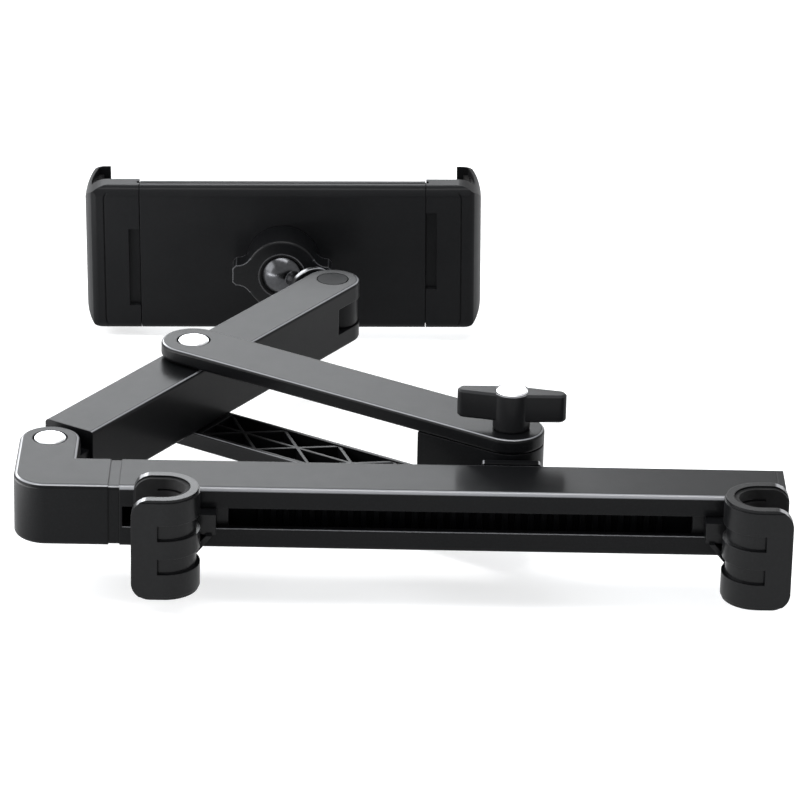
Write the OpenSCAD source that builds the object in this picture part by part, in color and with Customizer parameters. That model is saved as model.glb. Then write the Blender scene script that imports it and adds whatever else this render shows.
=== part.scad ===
// Headrest tablet mount: a slotted rail with two post hooks, a folding arm with its strut,
// a ball joint and a sprung tablet holder. Millimetres, +Z up.
// The origin is midway between the two post seats, on their axes, at the rail's mid-height.
// +X runs along the rail and +Y points from the headrest posts towards the passenger.

/* [Post hooks] */
// Distance of each post seat from the middle at the widest setting
seat_x = 79.5; // [74:0.5:90]
// Travel of each hook towards the middle
seat_travel = 20; // [10:1:24]
// Inner radius of the rubber liner that takes a post
post_r = 5.7; // [4.8:0.1:6.2]
// Thickness of the rubber liner
liner_t = 1.3; // [1:0.1:1.8]
// Wall of a hook
hook_wall = 2.6; // [2.2:0.1:3.2]
// Height of a hook
hook_h = 29.2; // [24:0.2:34]
// Length of a hook's straight walls past the post's axis
hook_reach = 8.5; // [7:0.5:11]
// Depth of the two grooves round a hook's bend
hook_groove = 1; // [0.6:0.1:1.4]
// Radius of the hook's free corners
hook_corner = 5; // [3:0.5:7]
// Gap between a hook and the rail's front face
seat_gap = 2.2; // [1.6:0.1:3.5]

/* [Rail] */
// Depth of the rail, front to back
rail_w = 19; // [18.6:0.2:23]
// Height of the rail
rail_h = 17.8; // [16.6:0.2:22]
// Wall of the rail
rail_wall = 2.2; // [1.8:0.1:2.6]
// Rounding of the long edges
edge_r = 1.3; // [0.8:0.1:1.8]
// Height of the front and rear slots
slot_h = 6; // [5.4:0.1:6.8]
// Pitch of the detent teeth
tooth_pitch = 3.5; // [3:0.1:4.2]
// Number of detent teeth
tooth_count = 32; // [20:1:34]
// Depth of a detent tooth
tooth_depth = 1.3; // [0.6:0.1:1.5]

/* [Corner block] */
// Distance of the base pivot behind the rail's back face
pivot_behind = 12.65; // [12.2:0.1:16]
// Distance of the base pivot past the rail's left end
pivot_beyond = 20.6; // [20:0.1:24]
// Width of the recessed band at the joint with the rail
band_w = 3; // [2:0.1:4]
// Depth of that band
band_d = 0.25; // [0.15:0.05:0.4]
// Radius of the fork's round end
fork_r = 8.4; // [8:0.1:9]
// Radius of the outer corner
corner_r = 9; // [6:0.5:11]
// Half the height of the fork's slot
fork_gap = 4.5; // [4:0.1:5]

/* [Arm] */
// Angle between the arm and the rail
arm_deg = 57.2; // [50:0.2:62]
// Length between the arm's two end pivots
arm_len = 140.9; // [130:0.5:160]
// Distance of the strut's pivot from the base pivot
mid_len = 68.8; // [60:0.5:76]
// Width of the arm
arm_w = 16.2; // [15:0.2:17]
// Height of the arm
arm_h = 18.4; // [17:0.2:20]
// Height of the arm's centre line over the rail's
arm_lift = 0.23; // [0:0.01:0.6]
// Wall of the arm
arm_wall = 2.2; // [1.8:0.1:2.6]
// Distance from the base pivot to the arm's square end
arm_start = 8.7; // [8.6:0.1:12]

/* [Strut] */
// Length between the strut's two pivots
strut_len = 106.5; // [100:0.5:116]
// Width of the strut
strut_w = 18.5; // [17.6:0.1:19]
// Thickness of the top plate
plate_t = 4.3; // [3.4:0.1:5.4]
// Height of the ribbed tray
tray_h = 5; // [4:0.2:7]
// Side walls of the tray
tray_wall = 1.5; // [1.1:0.1:2]
// Thickness of the tray's ribs
rib_t = 0.9; // [0.7:0.1:1.3]
// Length of one crossed pair of ribs
truss_pitch = 16.3; // [12:0.1:20]
// Running gap between the arm and the plates over and under it
plate_gap = 0.7; // [0.5:0.1:1.2]
// Length of the end block, from the slider's pivot towards the arm
block_len = 24.5; // [20:0.5:28]

/* [Slider and knob] */
// Width of the slider
slider_w = 16.3; // [14:0.1:18]
// Thickness of the slider's flange behind the rail
flange_t = 2.4; // [1.8:0.1:3]
// Radius of the knob's hub
hub_r = 5.15; // [5:0.05:6.5]
// Height of the knob
knob_h = 10.9; // [9:0.1:14]
// Distance between the tips of the wings
knob_span = 30; // [24:0.5:40]
// Height of a wing
wing_h = 8.1; // [6:0.1:9]
// Thickness of a wing at its tip
wing_t = 4.2; // [3:0.1:5]
// Thickness of a wing at the hub
wing_root = 7.4; // [5.6:0.1:9]
// Angle of the wings from the rail's direction
knob_deg = -6; // [-45:1:45]

/* [Pivots] */
// Radius of the pivot pins
pin_r = 2.5; // [2:0.1:2.8]
// Radius of the round pivot caps
cap_r = 4.3; // [4:0.1:4.6]
// Thickness of a pivot cap
cap_t = 1; // [0.8:0.1:1.3]
// Thickness of the friction washers
washer_t = 0.7; // [0.5:0.1:0.9]

/* [Fasteners] */
// Corner screw's radius
corner_screw_r = 1.25; // [1:0.05:1.5]
// Corner screw's length under its head
corner_screw_len = 7; // [6:0.5:8]
// Corner screw's distance from the rail's end
corner_screw_x = 4; // [3.5:0.1:4.5]
// Corner screw's distance from the channel's side
corner_screw_in = 3.2; // [2.8:0.1:3.6]
// Arm cover screw's length under its head
cover_screw_len = 6; // [5:0.5:7]
// Clamp bolt head's corner radius
bolt_hex_r = 3.9; // [3.6:0.1:4.2]
// Clamp bolt head's height
bolt_hex_h = 2.9; // [2.5:0.1:3]
// Clamp nut's corner radius
nut_hex_r = 4.1; // [3.8:0.1:4.4]
// Clamp nut's height
nut_hex_h = 3.3; // [3:0.1:3.4]

/* [Ball joint] */
// Distance from the arm's tip pivot to the ball's centre
link_len = 32.3; // [30:0.1:40]
// Direction of the ball link in plan
link_deg = 118.7; // [95:0.1:130]
// Radius of the ball
ball_r = 7.2; // [6.6:0.1:8]
// Radius of the neck below the ball
neck_r = 2.4; // [2:0.1:2.6]
// Radius of the round flange on the knuckle
disc_r = 8; // [7:0.1:9]
// Thickness of the seats on both sides of the ball
seat_t = 0.85; // [0.7:0.05:1]
// Radius of the ball nut
nut_r = 11.2; // [10.8:0.1:13]
// Distance from the ball's centre to the nut's front face
nut_front = 4.3; // [3.9:0.1:4.6]
// Reach of the nut's two ears from its axis
ear_reach = 15; // [14:0.5:18]

/* [Holder] */
// Height of the finger grip cut into each jaw's back
grip_h = 25; // [16:0.5:36]
// Depth of that grip
grip_deep = 1.6; // [0.8:0.1:2.4]
// Radius of the jaws' outer corners
jaw_corner = 7; // [3:0.5:9]
// Distance from a jaw's outermost line to the groove in its back
bead_w = 6; // [5:0.1:6.6]
// Rounding of the side wall's back corner
bead_r = 2.4; // [1.6:0.1:2.6]
// Width and depth of that groove
groove_w = 0.4; // [0.3:0.05:0.6]
// Distance from the ball's centre to the holder's back face
holder_off = 9.4; // [9.2:0.1:13]
// Width of the holder's middle section
mid_w = 87; // [80:1:110]
// Width of each end jaw
jaw_w = 16.9; // [14:0.1:22]
// Height of the holder
holder_h = 46.6; // [44:0.2:60]
// Thickness of the holder without its claws
holder_t = 7.8; // [7.4:0.1:10]
// Rounding of the holder's back edges
back_r = 3; // [1:0.2:3.6]
// Skin of the two shells
shell_t = 2; // [1.6:0.1:2.4]
// Gap between the pad and the claw's lip
grip_gap = 11.4; // [8:0.2:16]
// Length of the claw's lip
lip_len = 5.4; // [4:0.1:8]
// Travel of each jaw
jaw_travel = 30; // [16:1:30]
// Turn of the holder about its own normal
holder_roll = 1; // [-5:0.5:5]
// Teeth of the pinion
pinion_teeth = 12; // [10:1:13]
// Pitch radius of the pinion
pinion_r = 5; // [4.6:0.1:5.6]

/* [Hidden] */
$fn = 64;

black = "#26282b";
rubber = "#1b1c1e";
steel = "#9a9c9f";
silver = "#dcdde0";
pom = "#3a3a3c";

slip = 0.15;
run = 0.05;
seat = 0.02;
eps = 0.01;

// Hooks
hook_r = post_r + liner_t + hook_wall;
groove_h = hook_h * 0.155;
collar_mid = hook_h * 0.18;
rim_h = 0.9;
rim_step = 0.4;
neck_h = slot_h - 0.3;
neck_in = 13.5;
neck_out = 4;
// Rail
face_y = hook_r + seat_gap;
back_y = face_y + rail_w;
rail_left = -seat_x - 12.7;
rail_right = seat_x + 6.5;
cap_plate = 2;
plug_len = 2.4;
chan_y0 = face_y + rail_wall;
chan_y1 = back_y - rail_wall;
chan_h = rail_h - 2 * rail_wall;
slot_x0 = -seat_x - 11.9;
slot_x1 = seat_x + 4;
// Carriages run just behind the front wall, and the strip stands behind them
car_t = 4.2;
car_in = 16.7;
car_out = 3.5;
spring_t = 0.45;
strip_y0 = chan_y0 + slip + car_t + 0.75;
strip_t = 2.4;
strip_len = 2 * seat_x - 23;
// Corner block and base pivot
base_x = rail_left - pivot_beyond;
base_y = back_y + pivot_behind;
block_left = base_x - fork_r;
inner_r = 1.5;
tongue_t = 2 * (fork_gap - washer_t - 0.1);
tongue_r = fork_r - 1.4;
// Linkage
arm_top = arm_lift + arm_h / 2;
arm_bot = arm_lift - arm_h / 2;
strut_deg = asin(mid_len * sin(arm_deg) / strut_len);
slider_x = base_x + mid_len * cos(arm_deg) + strut_len * cos(strut_deg);
fold_deg = 53;
fold_x = base_x + mid_len * cos(arm_deg - fold_deg)
    + strut_len * cos(asin(mid_len * sin(arm_deg - fold_deg) / strut_len));
plate_z0 = arm_top + plate_gap;
plate_z1 = plate_z0 + plate_t;
tray_z1 = arm_bot - plate_gap;
tray_z0 = tray_z1 - tray_h;
tray_floor = 1.2;
strut_r = strut_w / 2;
block_x = strut_len - block_len;
// Slider
head_t = 3;
lift_room = 3.3;
head_y1 = chan_y1 - lift_room;
head_y0 = head_y1 - head_t;
lug_t = 7;
lug_r = strut_r - 2.2;
rear_x0 = slider_x - slider_w / 2 - 1.5;
rear_x1 = fold_x + slider_w / 2 + 1.5;
bolt_r = 2;
// Pivots
ring_r = cap_r + 0.55;
head_r = cap_r - 0.4;
head_h = 1.5;
bush_r = pin_r + 1.6;
// Tip fork and ball link
tip_gap = 4.05;
knuckle_t = 2 * (tip_gap - 0.25);
knuckle_r = arm_w / 2 - 0.5;
tip_slot = 8.7;
disc_x = 12;
disc_t = 2.2;
tip_x = base_x + arm_len * cos(arm_deg);
tip_y = base_y + arm_len * sin(arm_deg);
ball_x = tip_x + link_len * cos(link_deg);
ball_y = tip_y + link_len * sin(link_deg);
// Ball socket
bowl_in = ball_r + run;
bowl_out = bowl_in + seat_t;
cavity_r = bowl_out + run;
spigot_r = cavity_r + 1.05;
thread_r = spigot_r + 0.15;
spigot_y = 1.2;
nut_back = holder_off - 0.2;
mouth_r = sqrt(cavity_r * cavity_r - nut_front * nut_front);
ear_h = 6.4;
ear_l = 7;
flank_r = 4.5;
flank_x = sqrt(pow(nut_r + flank_r, 2) - pow(ear_h / 2 + flank_r, 2));
flank_a = 180 + atan((ear_h / 2 + flank_r) / flank_x);
// Holder
half_w = mid_w / 2;
half_h = holder_h / 2;
front_y = holder_off + holder_t;
pad_t = 1;
shell_y = holder_off + holder_t / 2 + 0.1;
layer_y0 = holder_off + shell_t + 0.1;
layer_y1 = shell_y - 0.1;
lip_t = 2;
claw_y = front_y + grip_gap + lip_t;
side_bulge = 22;
jaw_end = half_w + 0.2 + jaw_w;
side_y = (holder_off + claw_y) / 2;
side_x = jaw_end - side_bulge;
bead_x = sqrt(pow(side_bulge - bead_r, 2) - pow(side_y - holder_off - bead_r, 2));
bead_touch = side_y - (side_y - holder_off - bead_r) * side_bulge / (side_bulge - bead_r);
jaw_pitch = 2 * PI * pinion_r / pinion_teeth;
add = 0.75 * pinion_r / 6;
ded = 0.95 * pinion_r / 6;
rack_root = pinion_r + ded + 0.05;
rack_top = rack_root + 7.6;
rack_end = jaw_travel + 6.5;
grip_z = -2.7;
screw_x = half_w - 5.5;
screw_z = half_h - 4.2;

// Rounded rectangle, its middle at the origin
module rounded(w, h, r) {
    square([w - 2 * r, h], center = true);
    square([w, h - 2 * r], center = true);
    for (x = [-1, 1], y = [-1, 1])
        translate([x * (w / 2 - r), y * (h / 2 - r)]) circle(r, $fn = 32);
}

// The half of a rounded rectangle that lies at x above 0
module half_rounded(w, h, r) {
    translate([0, -h / 2]) square([w - r, h]);
    translate([0, r - h / 2]) square([w, h - 2 * r]);
    for (y = [-1, 1]) translate([w - r, y * (h / 2 - r)]) circle(r, $fn = 32);
}

// Straight bar along +X from x0 to x1 with rounded long edges
module bar(x0, x1, w, h, r) {
    translate([x0, 0, 0]) rotate([90, 0, 90]) linear_extrude(x1 - x0) rounded(w, h, r);
}

// Upright disc with rounded rims
module pill(rad, h, r) {
    rotate_extrude() intersection() {
        half_rounded(rad, h, r);
        translate([0, -h]) square([rad + 1, 2 * h]);
    }
}

// Bar along +X with a round end at each pivot
module link_bar(len, w, h, r) {
    bar(0, len, w, h, r);
    pill(w / 2, h, r);
    translate([len, 0, 0]) pill(w / 2, h, r);
}

module rod(r, z0, z1) {
    translate([0, 0, z0]) cylinder(r = r, h = z1 - z0);
}

// Cylinder along +Y between y0 and y1
module rod_y(r, y0, y1) {
    translate([0, y0, 0]) rotate([-90, 0, 0]) cylinder(r = r, h = y1 - y0);
}

// Countersunk or cylinder-headed screw along +Z, its head at the bottom
module screw(r, len, hr, hh) {
    difference() {
        union() {
            rod(hr, 0, hh);
            rod(r, hh - eps, len);
        }
        translate([0, 0, -eps]) cylinder(r = r * 0.9, h = hh * 0.6, $fn = 6);
    }
}

module at_base() {
    translate([base_x, base_y, 0]) children();
}

module at_arm() {
    at_base() rotate([0, 0, arm_deg]) children();
}

module at_strut() {
    at_arm() translate([mid_len, 0, 0]) rotate([0, 0, -arm_deg - strut_deg]) children();
}

module at_slider() {
    translate([slider_x, base_y, 0]) children();
}

module at_tip() {
    translate([tip_x, tip_y, arm_lift]) children();
}

module at_ball() {
    translate([ball_x, ball_y, arm_lift]) children();
}

module at_holder() {
    at_ball() rotate([0, -holder_roll, 0]) children();
}

// Pivot pin with a flat head at the top, under its cap
module pivot_pin(z_head, z_end) {
    rod(head_r, z_head - head_h, z_head);
    rod(pin_r, z_end, z_head - head_h + eps);
}

// What a cap, a pin's head and its shaft take out of a plate
module pivot_seat(z_top, ring, depth) {
    rod(ring, z_top - cap_t + 0.2, z_top + 1);
    rod(head_r + seat, z_top - cap_t + 0.2 - head_h - depth, z_top);
}

// Cap that stands just proud of the plate round it
module pivot_cap(z_top, r) {
    rotate_extrude() intersection() {
        union() {
            translate([0, z_top - cap_t + 0.2]) square([r, cap_t - 0.2]);
            translate([0, z_top - cap_t + 0.2]) square([r - 0.3, cap_t + 0.1]);
        }
        translate([0, z_top - 4]) square([r, 8]);
    }
}

// Rail

module rail_beam() {
    color(black) difference() {
        translate([0, (face_y + back_y) / 2, 0]) bar(rail_left, rail_right, rail_w, rail_h, edge_r);
        translate([rail_left - 1, chan_y0, -chan_h / 2])
            cube([rail_right - rail_left + 2, chan_y1 - chan_y0, chan_h]);
        translate([slot_x0, face_y - 1, -slot_h / 2])
            cube([slot_x1 - slot_x0, rail_wall + 2, slot_h]);
        translate([rear_x0, chan_y1 - 1, -slot_h / 2])
            cube([rear_x1 - rear_x0, rail_wall + 2, slot_h]);
        corner_screw_holes(1.3);
    }
}

module corner_screw_holes(r) {
    for (y = [chan_y0 + corner_screw_in, chan_y1 - corner_screw_in])
        translate([rail_left + corner_screw_x, y, -rail_h / 2 - 1]) cylinder(r = r, h = rail_wall + 2);
}

module corner_screws() {
    color(steel) for (y = [chan_y0 + corner_screw_in, chan_y1 - corner_screw_in])
        translate([rail_left + corner_screw_x, y, -rail_h / 2 - 1.2])
            screw(corner_screw_r, corner_screw_len, 2.2, 1.2);
}

module rail_end_cap() {
    inset = rail_wall + slip;
    color(black) {
        translate([0, (face_y + back_y) / 2, 0])
            bar(rail_right, rail_right + cap_plate, rail_w, rail_h, edge_r);
        translate([rail_right - plug_len, face_y + inset, -rail_h / 2 + inset])
            cube([plug_len + eps, rail_w - 2 * inset, rail_h - 2 * inset]);
    }
}

// Long strip that stands in the channel, with upright teeth on the upper half of its face
module detent_strip() {
    teeth_x = tooth_count * tooth_pitch / 2;
    half_h = chan_h / 2;
    color(pom) {
        translate([-strip_len / 2, strip_y0 + tooth_depth, -half_h])
            cube([strip_len, strip_t - tooth_depth, chan_h]);
        for (side = [-1, 1]) translate([side * (strip_len / 2 - 1.5) - 1.5, strip_y0, -half_h])
            cube([3, tooth_depth + eps, chan_h]);
        translate([0, 0, -half_h]) linear_extrude(half_h + slot_h / 2 + 1.4) for (i = [0 : tooth_count - 1])
            translate([(i + 0.5) * tooth_pitch - teeth_x, strip_y0 + tooth_depth + eps])
                polygon([[-tooth_pitch * 0.3, 0], [-tooth_pitch * 0.2, -tooth_depth],
                    [tooth_pitch * 0.2, -tooth_depth], [tooth_pitch * 0.3, 0]]);
    }
}

// Plan outline of the corner block
module corner_plan(inset) {
    r = corner_r - inset;
    translate([block_left + corner_r, face_y + corner_r]) circle(r);
    translate([block_left + corner_r, face_y + inset])
        square([rail_left - block_left - corner_r, rail_w - 2 * inset]);
    translate([block_left + inset, face_y + corner_r])
        square([2 * (fork_r - inset), base_y - face_y - corner_r]);
    translate([base_x, base_y]) circle(fork_r - inset);
}

// Rounded body in steps of exact solids: legs, outer corner and round fork end
module corner_body() {
    leg_y = (face_y + corner_r + base_y) / 2;
    translate([0, (face_y + back_y) / 2, 0]) {
        bar(block_left + corner_r, rail_left - band_w, rail_w, rail_h, edge_r);
        bar(rail_left - band_w - 1, rail_left, rail_w - 2 * band_d, rail_h - 2 * band_d, edge_r);
    }
    translate([base_x, 0, 0]) rotate([0, 0, 90])
        bar(face_y + corner_r, base_y, 2 * fork_r, rail_h, edge_r);
    translate([base_x, base_y, 0]) pill(fork_r, rail_h, edge_r);
    translate([block_left + corner_r, face_y + corner_r, 0]) pill(corner_r, rail_h, edge_r);
    translate([block_left + corner_r, face_y + corner_r, 0])
        translate([-0.1, -0.1, -rail_h / 2 + edge_r]) cube([3, 3, rail_h - 2 * edge_r]);
}

module corner_block() {
    pocket_y = tongue_r + 0.3;
    color(black) difference() {
        union() {
            corner_body();
            translate([base_x + fork_r, back_y, 0]) inner_fillet(rail_h - 2 * edge_r);
            translate([rail_left - eps, chan_y0 + slip, -chan_h / 2 + slip])
                cube([slot_x0 - rail_left, chan_y1 - chan_y0 - 2 * slip, chan_h - 2 * slip]);
            for (y = [chan_y0 + corner_screw_in, chan_y1 - corner_screw_in])
                translate([rail_left - eps, y - 2.6, -chan_h / 2 + slip])
                    cube([6.8, 5.2, 3.3]);
        }
        translate([base_x, base_y, 0]) {
            rod(tongue_r + 0.3, -fork_gap, fork_gap);
            translate([0, -pocket_y, -fork_gap]) cube([30, 2 * pocket_y + 20, 2 * fork_gap]);
            translate([-tongue_r - 0.3, 0, -fork_gap]) cube([30, 30, 2 * fork_gap]);
            rod(pin_r + seat, -rail_h / 2 - 1, rail_h / 2 + 1);
            pivot_seat(rail_h / 2, ring_r, 0);
            mirror([0, 0, 1]) pivot_seat(rail_h / 2, head_r + seat, 0);
        }
        for (y = [chan_y0 + corner_screw_in, chan_y1 - corner_screw_in])
            translate([rail_left + corner_screw_x, y, -chan_h / 2 - 1])
                cylinder(r = corner_screw_r + seat, h = corner_screw_len - 1);
    }
}

// Quarter fillet in the inside corner between the fork and the rail
module inner_fillet(h) {
    translate([-eps, -eps, -h / 2]) linear_extrude(h) difference() {
        square(inner_r);
        translate([inner_r, inner_r]) circle(inner_r);
    }
}

module base_pivot_pin() {
    color(steel) at_base() {
        pivot_pin(rail_h / 2 - cap_t + 0.2, -rail_h / 2 + 0.8);
        rod(head_r, -rail_h / 2 + 0.8 + seat, -rail_h / 2 + 0.8 + head_h);
    }
}

module base_pivot_cap() {
    color(silver) at_base() pivot_cap(rail_h / 2, cap_r);
}

module base_washers() {
    color(pom) at_base() for (side = [0, 1]) mirror([0, 0, side]) difference() {
        rod(tongue_r - 1, fork_gap - washer_t, fork_gap);
        rod(pin_r + run, 0, fork_gap + 1);
    }
}

// Hooks. Each is drawn about its own post axis, open towards -X, with the rail at +Y

module hook_u(r, reach) {
    circle(r);
    translate([-reach, -r]) square([reach, 2 * r]);
}

module hook_side(h) {
    rotate([90, 0, 0]) translate([0, 0, -2 * hook_r]) linear_extrude(4 * hook_r) {
        translate([hook_corner - hook_reach, -h / 2]) square([40, h]);
        translate([-hook_reach, hook_corner - h / 2]) square([40, h - 2 * hook_corner]);
        for (z = [-1, 1]) translate([hook_corner - hook_reach, z * (h / 2 - hook_corner)])
            circle(hook_corner);
    }
}

// Grooved hook with a narrower rim at its top and bottom
module hook_form() {
    groove_z = collar_mid / 2;
    difference() {
        intersection() {
            union() {
                translate([0, 0, rim_h - hook_h / 2]) linear_extrude(hook_h - 2 * rim_h)
                    hook_u(hook_r, hook_reach);
                translate([0, 0, -hook_h / 2 - 1]) linear_extrude(hook_h + 2)
                    hook_u(hook_r - rim_step, hook_reach);
            }
            hook_side(hook_h);
        }
        translate([0, 0, -hook_h]) linear_extrude(2 * hook_h)
            hook_u(post_r + liner_t, hook_reach + 1);
        for (side = [0, 1]) mirror([0, 0, side]) translate([0, 0, groove_z]) difference() {
            translate([-1.5, -2 * hook_r, 0]) cube([3 * hook_r, 4 * hook_r, groove_h]);
            rod(hook_r - hook_groove, -1, groove_h + 1);
        }
    }
}

// Neck through the slot, with a slanted web under it that stiffens the hook
module hook_neck() {
    translate([-neck_out, post_r + liner_t + 0.5, -neck_h / 2])
        cube([neck_in + neck_out, chan_y0 + slip - post_r - liner_t - 0.5, neck_h]);
    translate([0, hook_r + seat_gap - 0.4, 0]) rotate([90, 0, 0]) linear_extrude(seat_gap + 3)
        polygon([[neck_in - 1, -neck_h / 2 + eps], [neck_in - 2.6, -neck_h / 2 + eps],
            [4, -neck_h / 2 - 7.4], [4, -neck_h / 2 - 8.8], [5.4, -neck_h / 2 - 8.8]]);
}

module hook() {
    difference() {
        union() {
            hook_form();
            hook_neck();
        }
        translate([0, 0, -hook_h]) linear_extrude(2 * hook_h)
            hook_u(post_r + liner_t, hook_reach + 1);
        for (x = [2.5, 10.5]) translate([x, 0, 0]) rod_y(1 + seat, chan_y0 - 3.4, chan_y0 + 2);
    }
}

module hook_liner() {
    difference() {
        intersection() {
            translate([0, 0, -hook_h / 2 + 0.3]) linear_extrude(hook_h - 0.6)
                hook_u(post_r + liner_t, hook_reach - 0.5);
            hook_side(hook_h - 1);
        }
        translate([0, 0, -hook_h]) linear_extrude(2 * hook_h) hook_u(post_r, hook_reach + 1);
        for (z = [-3 : 3]) translate([0, 0, z * hook_h / 8 - 0.3]) difference() {
            translate([-2, -2 * hook_r, 0]) cube([3 * hook_r, 4 * hook_r, 0.6]);
            rod(post_r + liner_t + 1, -1, 0);
        }
    }
}

module carriage() {
    difference() {
        translate([-car_out, chan_y0 + slip, -chan_h / 2 + slip])
            cube([car_in + car_out, car_t, chan_h - 2 * slip]);
        for (x = [2.5, 10.5]) translate([x, 0, 0]) {
            rod_y(1 + run, chan_y0, chan_y0 + slip + car_t + 1);
            rod_y(2.1, chan_y0 + slip + car_t - 1.6, chan_y0 + slip + car_t + 1);
        }
    }
}

module hook_screws() {
    head_y = chan_y0 + slip + car_t;
    for (x = [2.5, 10.5]) translate([x, head_y, 0]) rotate([90, 0, 0]) screw(1, 7, 2, 1.5);
}

// Sprung leaf on the carriage's back, its nose bent out towards the strip's teeth
module detent_leaf() {
    y = chan_y0 + slip + car_t;
    translate([0, 0, 3.1]) linear_extrude(3) {
        translate([0, y]) square([car_in - 3, spring_t]);
        translate([car_in - 3 - eps, y])
            polygon([[0, 0], [1.2, spring_t * 1.2], [2.4, 0], [2.4, spring_t * 0.6],
                [1.2, spring_t * 1.55], [0, spring_t]]);
    }
}

module place_left() {
    translate([-seat_x, 0, 0]) children();
}

module place_right() {
    translate([seat_x, 0, 0]) mirror([1, 0, 0]) children();
}

module left_hook() { color(black) place_left() hook(); }
module right_hook() { color(black) place_right() hook(); }
module left_hook_liner() { color(rubber) place_left() hook_liner(); }
module right_hook_liner() { color(rubber) place_right() hook_liner(); }
module left_carriage() { color(black) place_left() carriage(); }
module right_carriage() { color(black) place_right() carriage(); }
module left_detent_spring() { color(steel) place_left() detent_leaf(); }
module right_detent_spring() { color(steel) place_right() detent_leaf(); }
module left_hook_screws() { color(steel) place_left() hook_screws(); }
module right_hook_screws() { color(steel) place_right() hook_screws(); }

// Arm, drawn along +X from the base pivot

cover_t = 1.8;
pocket_a = [arm_start + 6, mid_len - bush_r - 3.4];
pocket_b = [mid_len + bush_r + 3.4, arm_len - tip_slot - 5];
cover_a = arm_start + 3;
cover_b = arm_len - tip_slot - 2;
arm_screw_x = [cover_a + 4, mid_len + bush_r + 5.2, cover_b - 4];

module arm_beam() {
    mid = (arm_top + arm_bot) / 2;
    color(black) at_arm() difference() {
        union() {
            translate([0, 0, mid]) {
                bar(arm_start, arm_len, arm_w, arm_h, 1);
                translate([arm_len, 0, 0]) pill(arm_w / 2, arm_h, 1);
            }
            translate([0, -tongue_r, -tongue_t / 2]) cube([arm_start + eps, 2 * tongue_r, tongue_t]);
            rod(tongue_r, -tongue_t / 2, tongue_t / 2);
        }
        rod(pin_r + run, -arm_h, arm_h);
        for (p = [pocket_a, pocket_b])
            translate([p[0], -arm_w / 2 + arm_wall, arm_bot - 1])
                cube([p[1] - p[0], arm_w - 2 * arm_wall, arm_h - arm_wall + 1]);
        translate([cover_a, -arm_w / 2 + 1.6, arm_bot - 1])
            cube([cover_b - cover_a, arm_w - 3.2, cover_t + 1]);
        translate([mid_len, 0, 0]) rod(bush_r + seat, arm_bot - 1, arm_top + 1);
        for (x = arm_screw_x) translate([x, 0, 0]) rod(1.1, arm_bot - 1, arm_bot + cover_screw_len + 0.5);
        translate([arm_len - tip_slot, -arm_w, arm_lift - tip_gap])
            cube([tip_slot + arm_w, 2 * arm_w, 2 * tip_gap]);
        translate([arm_len, 0, 0]) {
            rod(pin_r + seat, arm_bot - 1, arm_top + 1);
            pivot_seat(arm_top, cap_r + 0.45, 0);
            translate([0, 0, arm_lift]) mirror([0, 0, 1]) pivot_seat(arm_h / 2, head_r + seat, 0);
        }
    }
}

module arm_bottom_cover() {
    color(black) at_arm() difference() {
        translate([cover_a + slip, -arm_w / 2 + 1.6 + slip, arm_bot])
            cube([cover_b - cover_a - 2 * slip, arm_w - 3.2 - 2 * slip, cover_t]);
        translate([mid_len, 0, 0]) rod(bush_r + 0.6, arm_bot - 1, arm_bot + cover_t + 1);
        for (x = arm_screw_x) translate([x, 0, 0]) {
            rod(1.15, arm_bot - 1, arm_bot + 3);
            rod(2.1, arm_bot - 1, arm_bot + 1.1);
        }
    }
}

module arm_cover_screws() {
    color(steel) at_arm() for (x = arm_screw_x)
        translate([x, 0, arm_bot]) screw(1.08, cover_screw_len, 2, 1.1);
}

module mid_pivot_bush() {
    color(steel) at_arm() translate([mid_len, 0, 0]) difference() {
        rod(bush_r, arm_bot - 0.1, arm_top + 0.1);
        rod(pin_r + run, arm_bot - 1, arm_top + 1);
    }
}

module tip_pivot_pin() {
    color(steel) at_arm() translate([arm_len, 0, 0]) {
        pivot_pin(arm_top - cap_t + 0.2, arm_bot + 0.8);
        rod(head_r, arm_bot + 0.8 + seat, arm_bot + 0.8 + head_h);
    }
}

module tip_pivot_cap() {
    color(black) at_arm() translate([arm_len, 0, 0]) rod(cap_r + 0.2, arm_top - cap_t + 0.2, arm_top);
}

// Strut, drawn along +X from the arm's middle pivot

module strut_top_plate() {
    color(black) at_strut() difference() {
        translate([0, 0, (plate_z0 + plate_z1) / 2]) link_bar(strut_len, strut_w, plate_t, 0.9);
        rod(pin_r + seat, plate_z0 - 1, plate_z1 + 1);
        pivot_seat(plate_z1, ring_r, 0);
        translate([strut_len, 0, 0]) rod(bolt_r + run, plate_z0 - 1, plate_z1 + 1);
    }
}

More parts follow.
